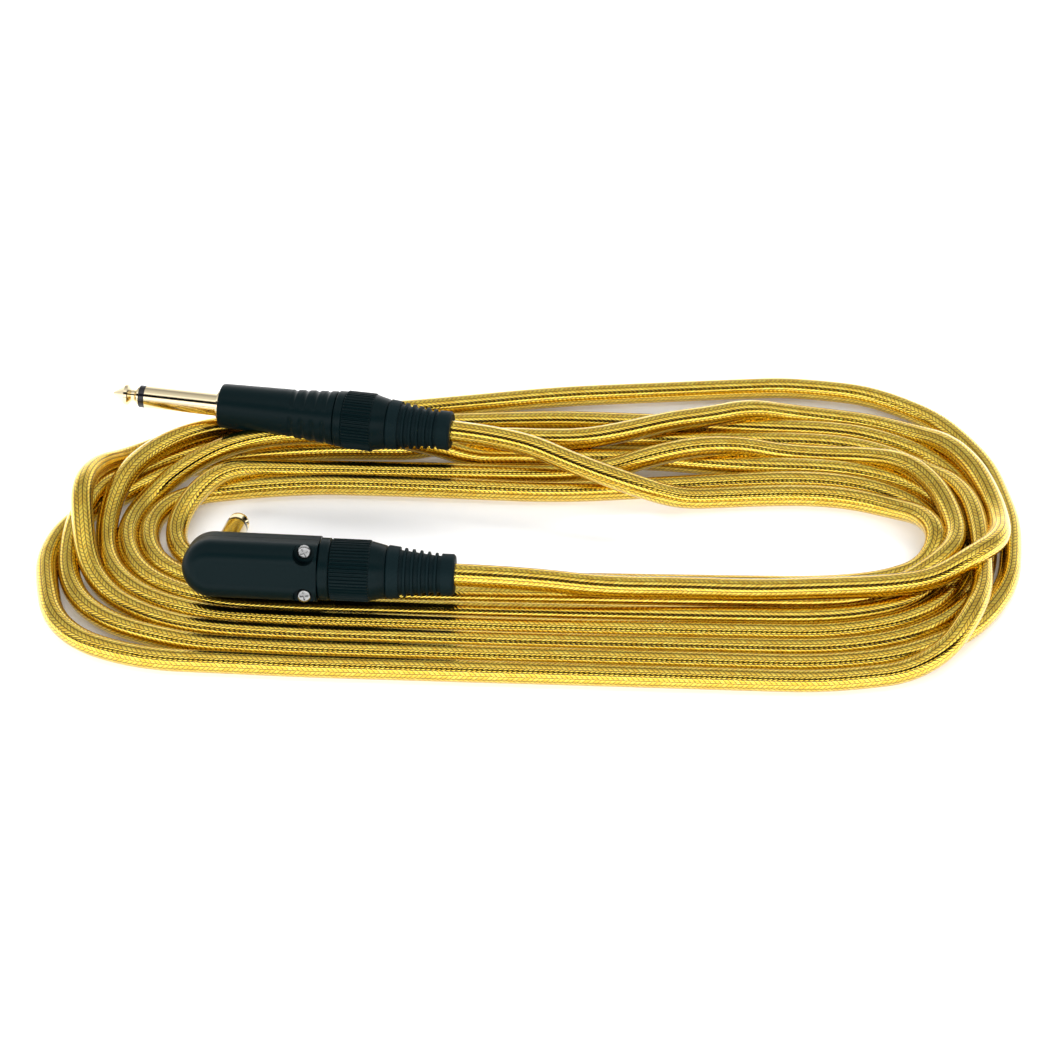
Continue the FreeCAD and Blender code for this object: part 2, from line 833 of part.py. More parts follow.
straight = placed(STRAIGHT_START, STRAIGHT_HEADING)
angle = placed(ANGLE_START, ANGLE_HEADING, 0.0, 90.0 - ANGLE_DIP)
angle_contacts = angle.multiply(
    FreeCAD.Placement(
        FreeCAD.Vector(size("shaft_from_end"), 0, -size("housing_depth / 2 + shaft_length")),
        FreeCAD.Rotation(FreeCAD.Vector(0, 1, 0), -90),
    )
)
for plug, placement in (("straight", straight), ("angle", angle_contacts)):
    add_contacts(plug, placement)
    add_lugs(plug, placement)

straight_seam = add_shell(straight)
straight_end = add_clamp("straight", straight_seam, "nut_grip_length", "nut_taper_length", straight)
angle_seam = add_housing(angle)
angle_end = add_clamp("angle", angle_seam, "angle_grip_length", "angle_taper_length", angle)

add_cable_end(
    "straight",
    f"{straight_seam} - chuck_depth - jacket_lead",
    straight_end,
    "core_radius - rod_radius",
    "screen_radius - ground_lug_drop",
    straight,
)
add_cable_end(
    "angle",
    f"{angle_seam} - chuck_depth - jacket_lead",
    angle_end,
    f"0 - housing_depth / 2 - shaft_length + {TIP_LUG} + lug_thickness + core_radius",
    f"0 - housing_depth / 2 - shaft_length + {GROUND_LUG} - screen_radius",
    angle,
)
add_tube("straight_tail_cable", STRAIGHT_ROUTE)
add_tube("angle_tail_cable", ANGLE_ROUTE)
add_coil()

doc.recompute()
for thing in doc.Objects:
    if "Invalid" in thing.State or "Error" in thing.State:
        raise SystemExit(f"{thing.Label} failed: {thing.State}")
os.makedirs("parts", exist_ok=True)
for node in nodes:
    if node.Shape.isNull() or not node.Shape.isValid():
        raise SystemExit(f"{node.Label} has no valid shape")
    if node.Shape.Volume <= 0:
        raise SystemExit(f"{node.Label} has no volume")
for node in nodes:
    node.Shape.exportStep(f"parts/{node.Label}.step")
    print(f"{node.Label}: {node.Shape.Volume:.2f} mm3")
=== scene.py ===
"""The looks of an instrument cable with a straight and a right-angle plug, in a loose oblong coil.

Lengths are in millimetres in the tables and in metres in the scene.
"""

import json
import math
from collections import namedtuple

import bpy
import numpy as np
from mathutils import Matrix, Vector


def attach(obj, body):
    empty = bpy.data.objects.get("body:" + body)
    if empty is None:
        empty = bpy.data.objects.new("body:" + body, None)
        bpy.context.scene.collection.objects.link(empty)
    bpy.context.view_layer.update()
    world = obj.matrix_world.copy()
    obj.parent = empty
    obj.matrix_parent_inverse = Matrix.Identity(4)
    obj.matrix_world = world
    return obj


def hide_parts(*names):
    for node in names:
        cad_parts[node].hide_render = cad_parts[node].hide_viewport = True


MM = 0.001

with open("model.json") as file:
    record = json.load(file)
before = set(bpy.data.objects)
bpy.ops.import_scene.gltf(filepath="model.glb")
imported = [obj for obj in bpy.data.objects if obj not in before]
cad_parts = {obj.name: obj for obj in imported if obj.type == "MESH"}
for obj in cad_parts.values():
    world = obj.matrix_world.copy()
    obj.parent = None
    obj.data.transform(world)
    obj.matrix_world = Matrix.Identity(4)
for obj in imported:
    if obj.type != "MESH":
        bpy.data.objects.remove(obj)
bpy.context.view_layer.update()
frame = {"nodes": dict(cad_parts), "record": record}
scene = bpy.context.scene

# The camera

CAMERA_DISTANCE = 0.762
CAMERA_ELEVATION = math.radians(40.0)
CAMERA_LENS = 94.67
SENSOR = 36.0

camera = bpy.data.objects.new("camera", bpy.data.cameras.new("camera"))
camera.data.lens = CAMERA_LENS
camera.data.sensor_width = SENSOR
camera.data.clip_start = 0.01
camera.location = (
    0.0,
    -CAMERA_DISTANCE * math.cos(CAMERA_ELEVATION),
    CAMERA_DISTANCE * math.sin(CAMERA_ELEVATION),
)
camera.rotation_euler = (math.pi / 2 - CAMERA_ELEVATION, 0.0, 0.0)
scene.collection.objects.link(camera)
scene.camera = camera

# The cable's route. The tails repeat the part's route points.

DIAMETER = 6.0
STRAIGHT_TAIL = [
    (-21.81, 25.25, 14.7),
    (-4.1, 22.03, 14.7),
    (12.5, 14.6, 11.4),
    (29.0, 7.4, 9.6),
]
ANGLE_TAIL = [
    (-19.52, -36.95, 16.0),
    (-1.56, -38.2, 16.0),
    (18.5, -37.2, 12.0),
    (38.0, -35.0, 9.8),
]
# Where the route leaves the straight tail and where it reaches the angle tail: x, y and rank.
AFTER_STRAIGHT_TAIL = (52.0, 11.0, 8.0)
BEFORE_ANGLE_TAIL = (57.0, -34.2, 9.0)
# A rank says over which strands a stretch lies: the higher lies over the lower.
TAIL_RANK = 10.0
# Where the long sides' widths are given, along X.
STATIONS = (-60.0, 8.0, 75.0)

# A turn of the coil, clockwise from above: Y on the far side at the three stations, the right
# end, Y on the near side at the three stations, the left end, and the rank of each of these.
Turn = namedtuple("Turn", "far right near left far_ranks right_rank near_ranks left_rank")
TURNS = [
    Turn(
        (None, None, 12), (112.5, -15), (-25, -25.5, -27), (-97.5, -4),
        (8, 8, 4), 1, (1, 1, 1), 5,
    ),
    Turn(
        (22, 20.5, 29.5), (115, -8), (-30.3, -31.5, -33.2), (-106.5, -2),
        (5, 4, 3), 3, (2, 2, 2), 1,
    ),
    Turn(
        (17, 12.8, 18), (112.5, -11), (-35.2, -38, -39.5), (-109.5, -6),
        (2, 2, 3), 1, (3, 1, 1), 3,
    ),
    Turn(
        (32, 28, 24), (117.5, -5), (-40.3, -44, -45.7), (-116, -1),
        (4, 3, 2), 2, (4, 2, 2), 5,
    ),
    Turn(
        (42, 45, 41), (123.5, 0), (-45.6, -49.7, -51.7), (-122.5, 2),
        (6, 2, 1), 1, (1, 1, 2), 5,
    ),
    Turn(
        (46, 56.4, 61), (131, -1), (-51.3, -54.5, -57.7), (-126, -12),
        (7, 1, 1), 1, (2, 2, 2), 2,
    ),
    Turn(
        (37, 36.5, 35.3), (121.5, -3), (-57, -59, -63.3), (-128.8, -18),
        (1, 3, 3), 4, (1, 1, 1), 1,
    ),
    Turn(
        (34, 28.5, 47), (126.8, -6), (None, None, -34), None,
        (2, 5, 4), 8, (9, 9, 9), None,
    ),
]
# How square each end's corner is, by side: 2 is an ellipse.
FAR_RIGHT = 2.25
NEAR_RIGHT = 2.3
NEAR_RIGHT_OUTER = 2.8
NEAR_LEFT = 2.5
NEAR_LEFT_OUTER = 3.3
FAR_LEFT = 2.1
FAR_LEFT_UNDER = 2.0
LAST_RIGHT = 2.6
CORNER_POINTS = 3
# How the planned turns are stacked and settled.
SAMPLE_STEP = 3.0
PLAN_ROUNDS = 3
RANK_HEIGHT = 3.2
SETTLE_ROUNDS = 260
SINK = 0.25
HEIGHT_ROUNDS = 3
SIDEWAYS_KEPT = 0.9
SIDEWAYS_BLEND = 0.3
PUSH_ROUNDS = 3
PUSH_SHARE = 0.65
PUSH_SIDEWAYS = 0.25
NEIGHBOUR_DIAMETERS = 1.6
SAME_STRAND_DIAMETERS = 4
# Settled samples left out beside each tail, and samples between two control points.
TAIL_GAP = 3
CONTROL_STRIDE = 4
CURVE_RESOLUTION = 8


def corner_points(start, end, leaves_along_x, power, ranks):
    """Points on a superellipse quadrant from start to end, without them, each with its rank."""
    points = []
    for step in range(1, CORNER_POINTS + 1):
        share = step / (CORNER_POINTS + 1)
        fall = math.cos(share * math.pi / 2) ** (2 / power)
        rise = math.sin(share * math.pi / 2) ** (2 / power)
        if not leaves_along_x:
            rise, fall = 1 - fall, 1 - rise
        x = start[0] + (end[0] - start[0]) * rise
        y = end[1] + (start[1] - end[1]) * fall
        points.append((x, y, ranks[0] + (ranks[1] - ranks[0]) * share))
    return points


def side_points(widths, ranks, order):
    """A long side's stations in the order given, with a point halfway between each two."""
    points = []
    for index in order:
        here = (STATIONS[index], widths[index], ranks[index])
        if points:
            points.append(tuple((a + b) / 2 for a, b in zip(points[-1], here)))
        points.append(here)
    return points


def planned_line():
    """The whole route seen from above, from plug to plug: x, y and rank."""
    line = [(x, y, TAIL_RANK) for x, y, _ in STRAIGHT_TAIL]
    line.append(AFTER_STRAIGHT_TAIL)
    for number, turn in enumerate(TURNS):
        is_last = turn.left is None
        is_outer = number == len(TURNS) - 2
        line += side_points(turn.far, turn.far_ranks, (0, 1, 2) if number else (2,))
        start = line[-1]
        ranks = (start[2], turn.right_rank)
        line += corner_points(start, turn.right, True, FAR_RIGHT, ranks)
        line.append((*turn.right, turn.right_rank))
        end = (STATIONS[2], turn.near[2])
        power = LAST_RIGHT if is_last else NEAR_RIGHT_OUTER if is_outer else NEAR_RIGHT
        ranks = (turn.right_rank, turn.near_ranks[2])
        line += corner_points(turn.right, end, False, power, ranks)
        line += side_points(turn.near, turn.near_ranks, (2,) if is_last else (2, 1, 0))
        if is_last:
            break
        start = line[-1]
        power = NEAR_LEFT_OUTER if is_outer else NEAR_LEFT
        ranks = (start[2], turn.left_rank)
        line += corner_points(start, turn.left, True, power, ranks)
        line.append((*turn.left, turn.left_rank))
        following = TURNS[number + 1]
        end = (STATIONS[0], following.far[0])
        power = FAR_LEFT_UNDER if number >= len(TURNS) - 3 else FAR_LEFT
        ranks = (turn.left_rank, following.far_ranks[0])
        line += corner_points(turn.left, end, False, power, ranks)
    line.append(BEFORE_ANGLE_TAIL)
    line += [(x, y, TAIL_RANK) for x, y, _ in reversed(ANGLE_TAIL)]
    return np.array(line)


def smoothed(values, weight):
    """The rows of values, each drawn towards the middle of its two neighbours."""
    result = values.copy()
    result[1:-1] = values[1:-1] * (1 - weight) + (values[:-2] + values[2:]) * weight / 2
    return result


def settle(line):
    """Stacks the line by rank, then lets it sink until it lies on the floor and on itself."""
    lengths = np.concatenate([[0], np.cumsum(np.hypot(*np.diff(line[:, :2], axis=0).T))])
    along = np.linspace(0, lengths[-1], int(lengths[-1] / SAMPLE_STEP))
    planned = np.column_stack([np.interp(along, lengths, line[:, axis]) for axis in (0, 1)])
    for _ in range(PLAN_ROUNDS):
        planned = smoothed(planned, 0.5)
    lowest = DIAMETER / 2
    height = lowest + np.interp(along, lengths, line[:, 2]) * RANK_HEIGHT
    count = len(STRAIGHT_TAIL)
    first = along <= lengths[count - 1]
    last = along >= lengths[-count]
    held = first | last
    height[first] = np.interp(along[first], lengths[:count], [p[2] for p in STRAIGHT_TAIL])
    height[last] = np.interp(along[last], lengths[-count:], [p[2] for p in reversed(ANGLE_TAIL)])
    spots = np.column_stack([planned, height])
    kept = spots[held].copy()
    spread = np.hypot(*(planned[:, None, :] - planned[None, :, :]).transpose(2, 0, 1))
    apart = np.abs(along[:, None] - along[None, :]) > DIAMETER * SAME_STRAND_DIAMETERS
    one, other = np.nonzero(np.triu((spread < DIAMETER * NEIGHBOUR_DIAMETERS) & apart))
    for _ in range(SETTLE_ROUNDS):
        spots[:, 2] -= SINK
        for _ in range(HEIGHT_ROUNDS):
            spots[:, 2] = smoothed(spots[:, 2], 0.5)
        offset = smoothed((spots[:, :2] - planned) * SIDEWAYS_KEPT, SIDEWAYS_BLEND)
        spots[:, :2] = planned + offset
        for _ in range(PUSH_ROUNDS):
            between = spots[one] - spots[other]
            distance = np.linalg.norm(between, axis=1)
            close = distance < DIAMETER
            way = between[close] / np.maximum(distance[close], 1e-6)[:, None]
            way[:, :2] *= PUSH_SIDEWAYS
            push = way * ((DIAMETER - distance[close]) * PUSH_SHARE)[:, None]
            moved = np.zeros_like(spots)
            touches = np.zeros(len(spots))
            np.add.at(moved, one[close], push)
            np.add.at(moved, other[close], -push)
            np.add.at(touches, one[close], 1)
            np.add.at(touches, other[close], 1)
            spots += moved / np.maximum(touches, 1)[:, None]
            spots[:, 2] = np.maximum(spots[:, 2], lowest)
            spots[held] = kept
    return spots[~held]


def new_object(name, data):
    thing = bpy.data.objects.new(name, data)
    scene.collection.objects.link(thing)
    return thing


def route_curve():
    """The cable's centreline: one open NURBS line through the tails and the settled coil."""
    settled = settle(planned_line())[TAIL_GAP:-TAIL_GAP:CONTROL_STRIDE]
    points = STRAIGHT_TAIL + [tuple(p) for p in settled] + ANGLE_TAIL[::-1]
    curve = bpy.data.curves.new("cable_route", "CURVE")
    curve.dimensions = "3D"
    spline = curve.splines.new("NURBS")
    spline.points.add(len(points) - 1)
    for spot, point in zip(spline.points, points):
        spot.co = (*(value * MM for value in point), 1.0)
    spline.order_u = 3
    spline.use_endpoint_u = True
    spline.resolution_u = CURVE_RESOLUTION
    return new_object("cable_route", curve)


def centreline(curve_object, step):
    """Evenly spaced points along the curve and how far along it each lies, in metres."""
    bpy.context.view_layer.update()
    mesh = bpy.data.meshes.new_from_object(curve_object)
    spots = np.array([v.co for v in mesh.vertices])
    lengths = np.concatenate([[0], np.cumsum(np.linalg.norm(np.diff(spots, axis=0), axis=1))])
    along = np.linspace(0, lengths[-1], int(lengths[-1] / step))
    even = np.column_stack([np.interp(along, lengths, spots[:, axis]) for axis in range(3)])
    return even, along


RING_POINTS = 24
RING_STEP = 1.5 * MM


def tube_mesh(name, points, along, radius):
    """A smooth round tube along the points. Its UVs are metres along it and turns round it."""
    ways = np.gradient(points, axis=0)
    ways /= np.linalg.norm(ways, axis=1)[:, None]
    side = np.cross(ways[0], (0, 0, 1.0))
    side /= np.linalg.norm(side)
    vertices = []
    angles = [2 * math.pi * k / RING_POINTS for k in range(RING_POINTS)]
    for point, way in zip(points, ways):
        side = side - way * side.dot(way)
        side /= np.linalg.norm(side)
        up = np.cross(way, side)
        for angle in angles:
            vertices.append(point + (side * math.cos(angle) + up * math.sin(angle)) * radius)
    faces = []
    corners = []
    for ring in range(len(points) - 1):
        for k in range(RING_POINTS):
            following = (k + 1) % RING_POINTS
            low = ring * RING_POINTS
            high = low + RING_POINTS
            faces.append((low + k, low + following, high + following, high + k))
            near, far = along[ring], along[ring + 1]
            corners += [(near, k), (near, k + 1), (far, k + 1), (far, k)]
    mesh = bpy.data.meshes.new(name)
    mesh.from_pydata(vertices, [], faces)
    layer = mesh.uv_layers.new(name="braid")
    for loop, (distance, k) in zip(layer.data, corners):
        loop.uv = (distance, k / RING_POINTS)
    mesh.polygons.foreach_set("use_smooth", [True] * len(mesh.polygons))
    return mesh


route = route_curve()
line, line_along = centreline(route, RING_STEP)
cable_mesh = tube_mesh("braided_cable", line, line_along, DIAMETER / 2 * MM)
cable = new_object("braided_cable", cable_mesh)
bpy.data.objects.remove(route)

# Materials


def new_material(name, colour, roughness, metallic=0.0, **sockets):
    material = bpy.data.materials.new(name)
    material.use_nodes = True
    shader = material.node_tree.nodes["Principled BSDF"]
    shader.inputs["Base Color"].default_value = (*colour, 1.0)
    shader.inputs["Roughness"].default_value = roughness
    shader.inputs["Metallic"].default_value = metallic
    for socket, value in sockets.items():
        shader.inputs[socket.replace("_", " ")].default_value = value
    return material


def add_maths(tree, operation, *values):
    """A maths node in a node tree, fed by numbers or sockets. Returns its output."""
    node = tree.nodes.new("ShaderNodeMath")
    node.operation = operation
    for socket, value in zip(node.inputs, values):
        if isinstance(value, (int, float)):
            socket.default_value = value
        else:
            tree.links.new(value, socket)
    return node.outputs[0]


class Nodes:
    """Short ways to add nodes to a material."""

    def __init__(self, material):
        self.tree = material.node_tree
        self.shader = self.tree.nodes["Principled BSDF"]

    def add(self, kind, **settings):
        node = self.tree.nodes.new(kind)
        for key, value in settings.items():
            setattr(node, key, value)
        return node

    def link(self, source, target):
        self.tree.links.new(source, target)

    def maths(self, operation, *values):
        return add_maths(self.tree, operation, *values)

    def blend(self, share, first, second):
        """A mix of two colours, the second of which may be a socket."""
        node = self.add("ShaderNodeMix", data_type="RGBA")
        self.link(share, node.inputs[0])
        node.inputs[6].default_value = (*first, 1.0)
        if isinstance(second, tuple):
            node.inputs[7].default_value = (*second, 1.0)
        else:
            self.link(second, node.inputs[7])
        return node.outputs[2]

    def bump(self, height, strength, distance):
        node = self.add("ShaderNodeBump")
        node.inputs["Strength"].default_value = strength
        node.inputs["Distance"].default_value = distance
        self.link(height, node.inputs["Height"])
        self.link(node.outputs["Normal"], self.shader.inputs["Normal"])

    def noise(self, scale):
        place = self.add("ShaderNodeTexCoord")
        node = self.add("ShaderNodeTexNoise")
        node.inputs["Scale"].default_value = scale
        self.link(place.outputs["Object"], node.inputs["Vector"])
        return node.outputs["Fac"]


BRAID_PITCH = 1.3 * MM
BRAID_COLUMNS = 16
BRAID_SLANT = 1.8
BRAID_RELIEF = 0.05 * MM
RIDGE_SHAPE = 0.5
CROWN_SHAPE = 0.35
GAP_SHARE = 0.08
GAP_STEEPNESS = 3.0
FOIL_GOLD = (1.0, 0.7, 0.16)
# Painted shade: the dark brown put in the braid's gaps between the dashes, where shade falls.
GAP_PAINTED_SHADE = (0.1, 0.04, 0.003)
# Painted glints: a dull and a bright copy of the foil, mixed at random for each dash to stand in
# for dashes catching the light.
PAINTED_DULL_DASH = (0.9, 0.58, 0.05)
PAINTED_GLINT_DASH = (1.0, 0.74, 0.1)


def braid_material():
    """Gold foil in a herringbone braid under a clear jacket, which is the coat, with painted shade
    in the gaps between the dashes and painted glints on random dashes.
    """
    material = new_material(
        "gold_braid",
        FOIL_GOLD,
        0.1,
        metallic=1.0,
        Coat_Weight=0.6,
        Coat_Roughness=0.05,
    )
    nodes = Nodes(material)
    uv = nodes.add("ShaderNodeUVMap", uv_map="braid")
    split = nodes.add("ShaderNodeSeparateXYZ")
    nodes.link(uv.outputs[0], split.inputs[0])
    column = nodes.maths("MULTIPLY", split.outputs[1], BRAID_COLUMNS)
    across = nodes.maths("FRACT", column)
    number = nodes.maths("FLOOR", column)
    odd = nodes.maths("MODULO", number, 2.0)
    tilt = nodes.maths("MULTIPLY", nodes.maths("SUBTRACT", odd, 0.5), BRAID_SLANT)
    slant = nodes.maths("MULTIPLY", nodes.maths("SUBTRACT", across, 0.5), tilt)
    along = nodes.maths("DIVIDE", split.outputs[0], BRAID_PITCH)
    shift = nodes.maths("MULTIPLY", odd, 0.5)
    phase = nodes.maths("ADD", nodes.maths("ADD", along, slant), shift)
    ridge = nodes.maths("SINE", nodes.maths("MULTIPLY", nodes.maths("FRACT", phase), math.pi))
    crown = nodes.maths("SINE", nodes.maths("MULTIPLY", across, math.pi))
    height = nodes.maths(
        "MULTIPLY",
        nodes.maths("POWER", ridge, RIDGE_SHAPE),
        nodes.maths("POWER", crown, CROWN_SHAPE),
    )
    # The gaps between the dashes get the painted shade colour, and the dashes keep the foil
    # colours.
    inside = nodes.maths("SUBTRACT", nodes.maths("MINIMUM", ridge, crown), GAP_SHARE)
    foil = nodes.maths("MULTIPLY", inside, GAP_STEEPNESS)
    foil.node.use_clamp = True
    # Each dash gets a random share between the dull and the bright foil, which paints glints.
    dash = nodes.add("ShaderNodeCombineXYZ")
    nodes.link(number, dash.inputs[0])
    nodes.link(nodes.maths("FLOOR", phase), dash.inputs[1])
    glint_chance = nodes.add("ShaderNodeTexWhiteNoise", noise_dimensions="2D")
    nodes.link(dash.outputs[0], glint_chance.inputs["Vector"])
    painted_glint = nodes.blend(glint_chance.outputs["Value"], PAINTED_DULL_DASH, PAINTED_GLINT_DASH)
    nodes.link(nodes.blend(foil, GAP_PAINTED_SHADE, painted_glint), nodes.shader.inputs["Base Color"])
    nodes.bump(height, 1.0, BRAID_RELIEF)
    return material


SATIN_SPECULAR = 0.09
GRAIN_STRENGTH = 0.25


def satin_black(name, colour, roughness, grain, depth):
    """A moulded black with a fine grain, given as its noise scale and its depth."""
    material = new_material(name, colour, roughness, Specular_IOR_Level=SATIN_SPECULAR)
    nodes = Nodes(material)
    nodes.bump(nodes.noise(grain), GRAIN_STRENGTH, depth)
    return material


PLASTIC_BLACK = (0.001, 0.0055, 0.0065)
RUBBER_BLACK = (0.002, 0.0075, 0.009)

braid = braid_material()
black_plastic = satin_black("black_plastic", PLASTIC_BLACK, 0.36, 2500.0, 0.05 * MM)
black_rubber = satin_black("black_rubber", RUBBER_BLACK, 0.55, 3500.0, 0.06 * MM)
black_gloss = new_material("black_gloss", (0.006, 0.006, 0.008), 0.12)
gold_plate = new_material("gold_plate", (0.86, 0.73, 0.48), 0.13, metallic=1.0)
bright_steel = new_material("bright_steel", (0.36, 0.36, 0.36), 0.25, metallic=1.0)
tin = new_material("tinned_brass", (0.7, 0.62, 0.45), 0.3, metallic=1.0)
solder = new_material("solder", (0.62, 0.62, 0.64), 0.3, metallic=1.0)
copper = new_material("copper", (0.85, 0.42, 0.24), 0.35, metallic=1.0)
clear = new_material("clear_polyethylene", (0.8, 0.8, 0.77), 0.4)
nylon = new_material("grey_nylon", (0.12, 0.12, 0.12), 0.5)
jacket_end = new_material("jacket_end", (0.9, 0.6, 0.14), 0.35, metallic=0.7)

SLOT_LOOKS = {
    "gold_plate": gold_plate,
    "black_insulator": black_gloss,
    "tinned_brass": tin,
    "solder": solder,
    "clear_polyethylene": clear,
    "copper": copper,
    "bright_screws": bright_steel,
    "black_plastic": black_plastic,
    "black_rubber": black_rubber,
    "grey_nylon": nylon,
    "gold_braid_jacket": jacket_end,
}

SHARP_ANGLE = math.radians(35.0)


def set_look(thing, material):
    thing.data.materials.clear()
    thing.data.materials.append(material)


slots = {part["node"]: part["material_slot"] for part in frame["record"]["subparts"]}
for name, thing in frame["nodes"].items():
    set_look(thing, SLOT_LOOKS[slots[name]])

set_look(cable, braid)
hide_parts("cable_coil", "straight_tail_cable", "angle_tail_cable")
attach(cable, "root")

# The plugs' own frames


def plug_frame(start, heading, roll=0.0):
    """A plug's frame: its start, then its heading about Z and its roll about X, in degrees."""
    place = Matrix.Translation(Vector(start) * MM)
    turn = Matrix.Rotation(math.radians(heading), 4, "Z")
    return place @ turn @ Matrix.Rotation(math.radians(roll), 4, "X")


STRAIGHT = plug_frame((-117.3, 42.6, 14.7), -10.3)
ANGLE = plug_frame((-90.3, -32.0, 16.0), -4.0, 68.0)


def lathe(name, outline, segments, place, relief=None):
    """A closed turned form about X. relief gives how far a point lies below the outline."""
    vertices = []
    for x, radius in outline:
        for k in range(segments):
            angle = 2 * math.pi * k / segments
            depth = relief(x, radius, angle) if relief else 0.0
            out = radius - depth
            vertices.append((x * MM, out * MM * math.cos(angle), out * MM * math.sin(angle)))
    faces = []
    count = len(outline)
    for ring in range(count):
        for k in range(segments):
            following = (k + 1) % segments
            low = ring * segments
            high = ((ring + 1) % count) * segments
            faces.append((low + k, high + k, high + following, low + following))
    mesh = bpy.data.meshes.new(name)
    mesh.from_pydata(vertices, [], faces)
    mesh.transform(place)
    mesh.update()
    mesh.set_sharp_from_angle(angle=SHARP_ANGLE)
    return new_object(name, mesh)


def steps(start, end, pitch):
    """Values from start to end about a pitch apart."""
    count = max(1, round((end - start) / pitch))
    return [start + (end - start) * k / count for k in range(count + 1)]


# The knurled nuts

KNURL_RIDGES = 50
KNURL_DEPTH = 0.45
KNURL_POINTS = 8
GROOVE_HALF_SHARE = 0.32
GROOVE_STEEPNESS = 1.6
# How far below the top of the grip the ridges still reach.
TOP_MARGIN = 0.05


def knurl(start, end, top):
    """Flat-topped ridges along the grip, between rounded grooves."""

    def relief(x, radius, angle):
        if not (start <= x <= end and radius > top - TOP_MARGIN):
            return 0.0
        share = (angle * KNURL_RIDGES / (2 * math.pi)) % 1.0
        groove = max(0.0, 1.0 - abs(share - 0.5) / GROOVE_HALF_SHARE)
        return KNURL_DEPTH * min(1.0, groove * GROOVE_STEEPNESS)

    return relief


RING_RADIUS = 7.8
GRIP_RADIUS = 8.1
NUT_REAR_RADIUS = 6.85
NUT_BORE = 6.1
LIP_BORE = 5.6
LIP = 1.6
EDGE = 0.25
RIM = 0.3
FACE = 0.001
KNURL_MARGIN = 0.2


def add_nut(plug, start, ring_length, grip_length, taper_length, place, body):
    """The nut: a smooth ring on the straight plug, a knurled grip and a smooth taper."""
    grip_start = start + ring_length
    grip_end = grip_start + grip_length
    end = grip_end + taper_length
    outline = [(start, NUT_BORE)]
    if ring_length:
        outline += [
            (start, RING_RADIUS - RIM), (start + RIM, RING_RADIUS),
            (grip_start - EDGE, RING_RADIUS), (grip_start, RING_RADIUS - EDGE),
            (grip_start + FACE, GRIP_RADIUS - EDGE),
        ]
    else:
        outline += [(start, GRIP_RADIUS - EDGE)]
    outline += [
        (grip_start + EDGE, GRIP_RADIUS),
        (grip_end - EDGE, GRIP_RADIUS), (grip_end, GRIP_RADIUS - RIM),
        (grip_end + FACE, RING_RADIUS - 0.1), (grip_end + RIM, RING_RADIUS - 0.05),
        (end - RIM, NUT_REAR_RADIUS + 0.05), (end, NUT_REAR_RADIUS - EDGE),
        (end, LIP_BORE), (end - LIP, LIP_BORE), (end - LIP, NUT_BORE),
    ]
    nut = lathe(
        plug + "_knurled_nut",
        outline,
        KNURL_RIDGES * KNURL_POINTS,
        place,
        knurl(grip_start + KNURL_MARGIN, grip_end - KNURL_MARGIN, GRIP_RADIUS),
    )
    set_look(nut, black_plastic)
    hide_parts(plug + "_nut")
    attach(nut, body)


add_nut("straight", 64.8, 2.4, 8.1, 4.0, STRAIGHT, "straight_nut_body")
add_nut("angle", 38.8, 0.0, 10.2, 4.2, ANGLE, "angle_nut_body")

# The straight plug's shell, with its four finger grooves

GROOVES = (52.6, 55.7, 58.8, 61.9)
GROOVE_HALF_WIDTH = 0.8
GROOVE_DEPTH = 0.36
GROOVE_LANDS = 3
LAND_ANGLE = math.radians(140.0)
LAND_EDGE = 0.95
LAND_STEEPNESS = 2.0
# The shell's bores lie inside this radius and have no grooves.
BORES_WITHIN = 5.6


def finger_grooves(x, radius, angle):
    """How far a point of the shell lies in a groove, which the lands interrupt."""
    if radius < BORES_WITHIN:
        return 0.0
    nearest = min(abs(x - groove) for groove in GROOVES)
    hollow = max(0.0, 1.0 - (nearest / GROOVE_HALF_WIDTH) ** 2)
    sector = math.cos(GROOVE_LANDS * (angle - LAND_ANGLE))
    window = min(1.0, max(0.0, (LAND_EDGE - sector) * LAND_STEEPNESS))
    return GROOVE_DEPTH * hollow * window


SHELL_FRONT = 31.4
SHELL_NOSE = 34.0
SHELL_REAR = 64.6
THREAD_END = 73.2
SHELL_EDGE = 0.5
SHAFT_BORE = 4.45
CAVITY_FRONT_BORE = 5.1
CAVITY_REAR_BORE = 4.9
FRONT_RADIUS = 6.15
REAR_TAPER_RADIUS = 6.7
THREAD_RADIUS = 6.0
FRONT_SLOPE = 0.0267
REAR_SLOPE = 0.0714


def add_shell():
    """The shell: a slim front, a wider grip with grooves, and the thread stub at the rear."""
    outline = [
        (SHELL_FRONT, SHAFT_BORE), (SHELL_FRONT, 5.65),
        (SHELL_FRONT + SHELL_EDGE * 0.3, 5.98), (SHELL_FRONT + SHELL_EDGE, FRONT_RADIUS),
    ]
    outline += [
        (x, FRONT_RADIUS + (x - SHELL_FRONT) * FRONT_SLOPE) for x in steps(33.0, 50.0, 2.0)
    ]
    outline += [
        (x, REAR_TAPER_RADIUS + (x - 52.0) * REAR_SLOPE)
        for x in steps(51.0, SHELL_REAR - SHELL_EDGE, 0.2)
    ]
    outline += [
        (SHELL_REAR - SHELL_EDGE * 0.3, 7.42), (SHELL_REAR, 7.1),
        (SHELL_REAR, THREAD_RADIUS), (THREAD_END, THREAD_RADIUS),
        (THREAD_END, CAVITY_REAR_BORE), (SHELL_REAR - 5.0, CAVITY_REAR_BORE),
        (SHELL_NOSE, CAVITY_FRONT_BORE), (SHELL_NOSE, SHAFT_BORE),
    ]
    shell = lathe("straight_grip_shell", outline, 144, STRAIGHT, finger_grooves)
    set_look(shell, black_plastic)
    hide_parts("straight_shell")
    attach(shell, "root")


add_shell()

# The cover's cross-head screws

